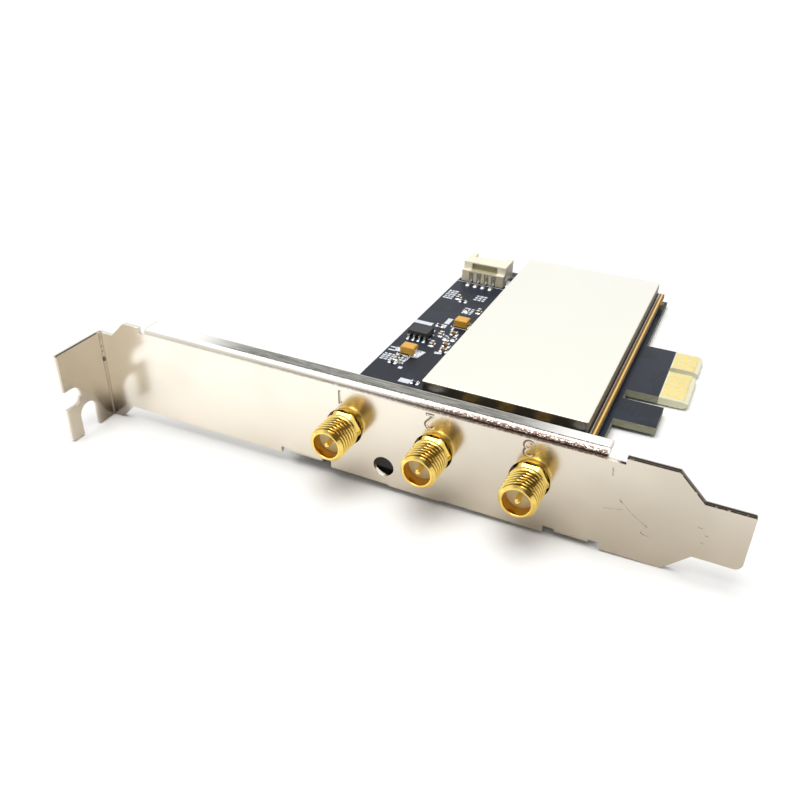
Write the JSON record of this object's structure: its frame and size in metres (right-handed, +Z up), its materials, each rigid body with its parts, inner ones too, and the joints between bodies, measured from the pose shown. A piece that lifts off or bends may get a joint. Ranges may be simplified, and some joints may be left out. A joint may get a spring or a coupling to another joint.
{
  "type": "wifi card",
  "caption": "Slot-mounted wireless network card: folded bracket with gold antenna jacks, short board with an edge connector, and a shielded radio module.",
  "frame": {"origin": "corner where the screw tab's seat face meets the bracket's outer face, at the level of the bracket's lower edge", "axes": "+X along the bracket from the screw tab to the tongue, +Y from the bracket back into the card, +Z up, out of the board's component side"},
  "size_m": [0.1201, 0.105, 0.0216],
  "materials": {
    "bracket_nickel": "satin nickel plate with fine grain and light scratches",
    "board_laminate": "dark blue-grey solder mask with white print, satin",
    "contact_gold": "pale hard gold plate, smooth",
    "jack_gold": "bright gold plate over turned brass",
    "jack_insulator": "waxy translucent white",
    "screw_steel": "bright zinc plate",
    "module_laminate": "dark solder mask over laminate",
    "module_gold": "flat gold plate, satin",
    "shield_nickel": "smooth tinned sheet, soft sheen",
    "spacer_brass": "turned, plain",
    "connector_plastic": "moulded, matt",
    "coax_gold": "bright gold plate",
    "header_plastic": "cream moulding, satin",
    "tinned_metal": "tin plate with solder",
    "chip_epoxy": "moulded epoxy, matt",
    "capacitor_resin": "moulded resin, satin",
    "chip_ceramic": "sintered ceramic, matt",
    "resistor_glaze": "glazed top"
  },
  "bodies": {
    "root": {"bracket": "bracket_nickel", "main_board": "board_laminate", "edge_contacts": "contact_gold", "bracket_screws": "screw_steel", "module_board": "module_laminate", "module_plating": "module_gold", "module_shield": "shield_nickel", "module_spacers": "spacer_brass", "module_screws": "screw_steel", "module_connector": "connector_plastic", "module_coax_sockets": "coax_gold", "board_coax_sockets": "coax_gold", "header_housing": "header_plastic", "header_pins": "tinned_metal", "header_tabs": "tinned_metal", "memory_body": "chip_epoxy", "memory_leads": "tinned_metal", "block_capacitors": "capacitor_resin", "block_cap_terminals": "tinned_metal", "chip_capacitors": "chip_ceramic", "chip_capacitor_ends": "tinned_metal", "chip_resistors": "resistor_glaze", "chip_resistor_ends": "tinned_metal", "jack_shell_1": "jack_gold", "jack_insulator_1": "jack_insulator", "jack_pin_1": "jack_gold", "jack_shell_2": "jack_gold", "jack_insulator_2": "jack_insulator", "jack_pin_2": "jack_gold", "jack_shell_3": "jack_gold", "jack_insulator_3": "jack_insulator", "jack_pin_3": "jack_gold"}
  },
  "joints": []
}
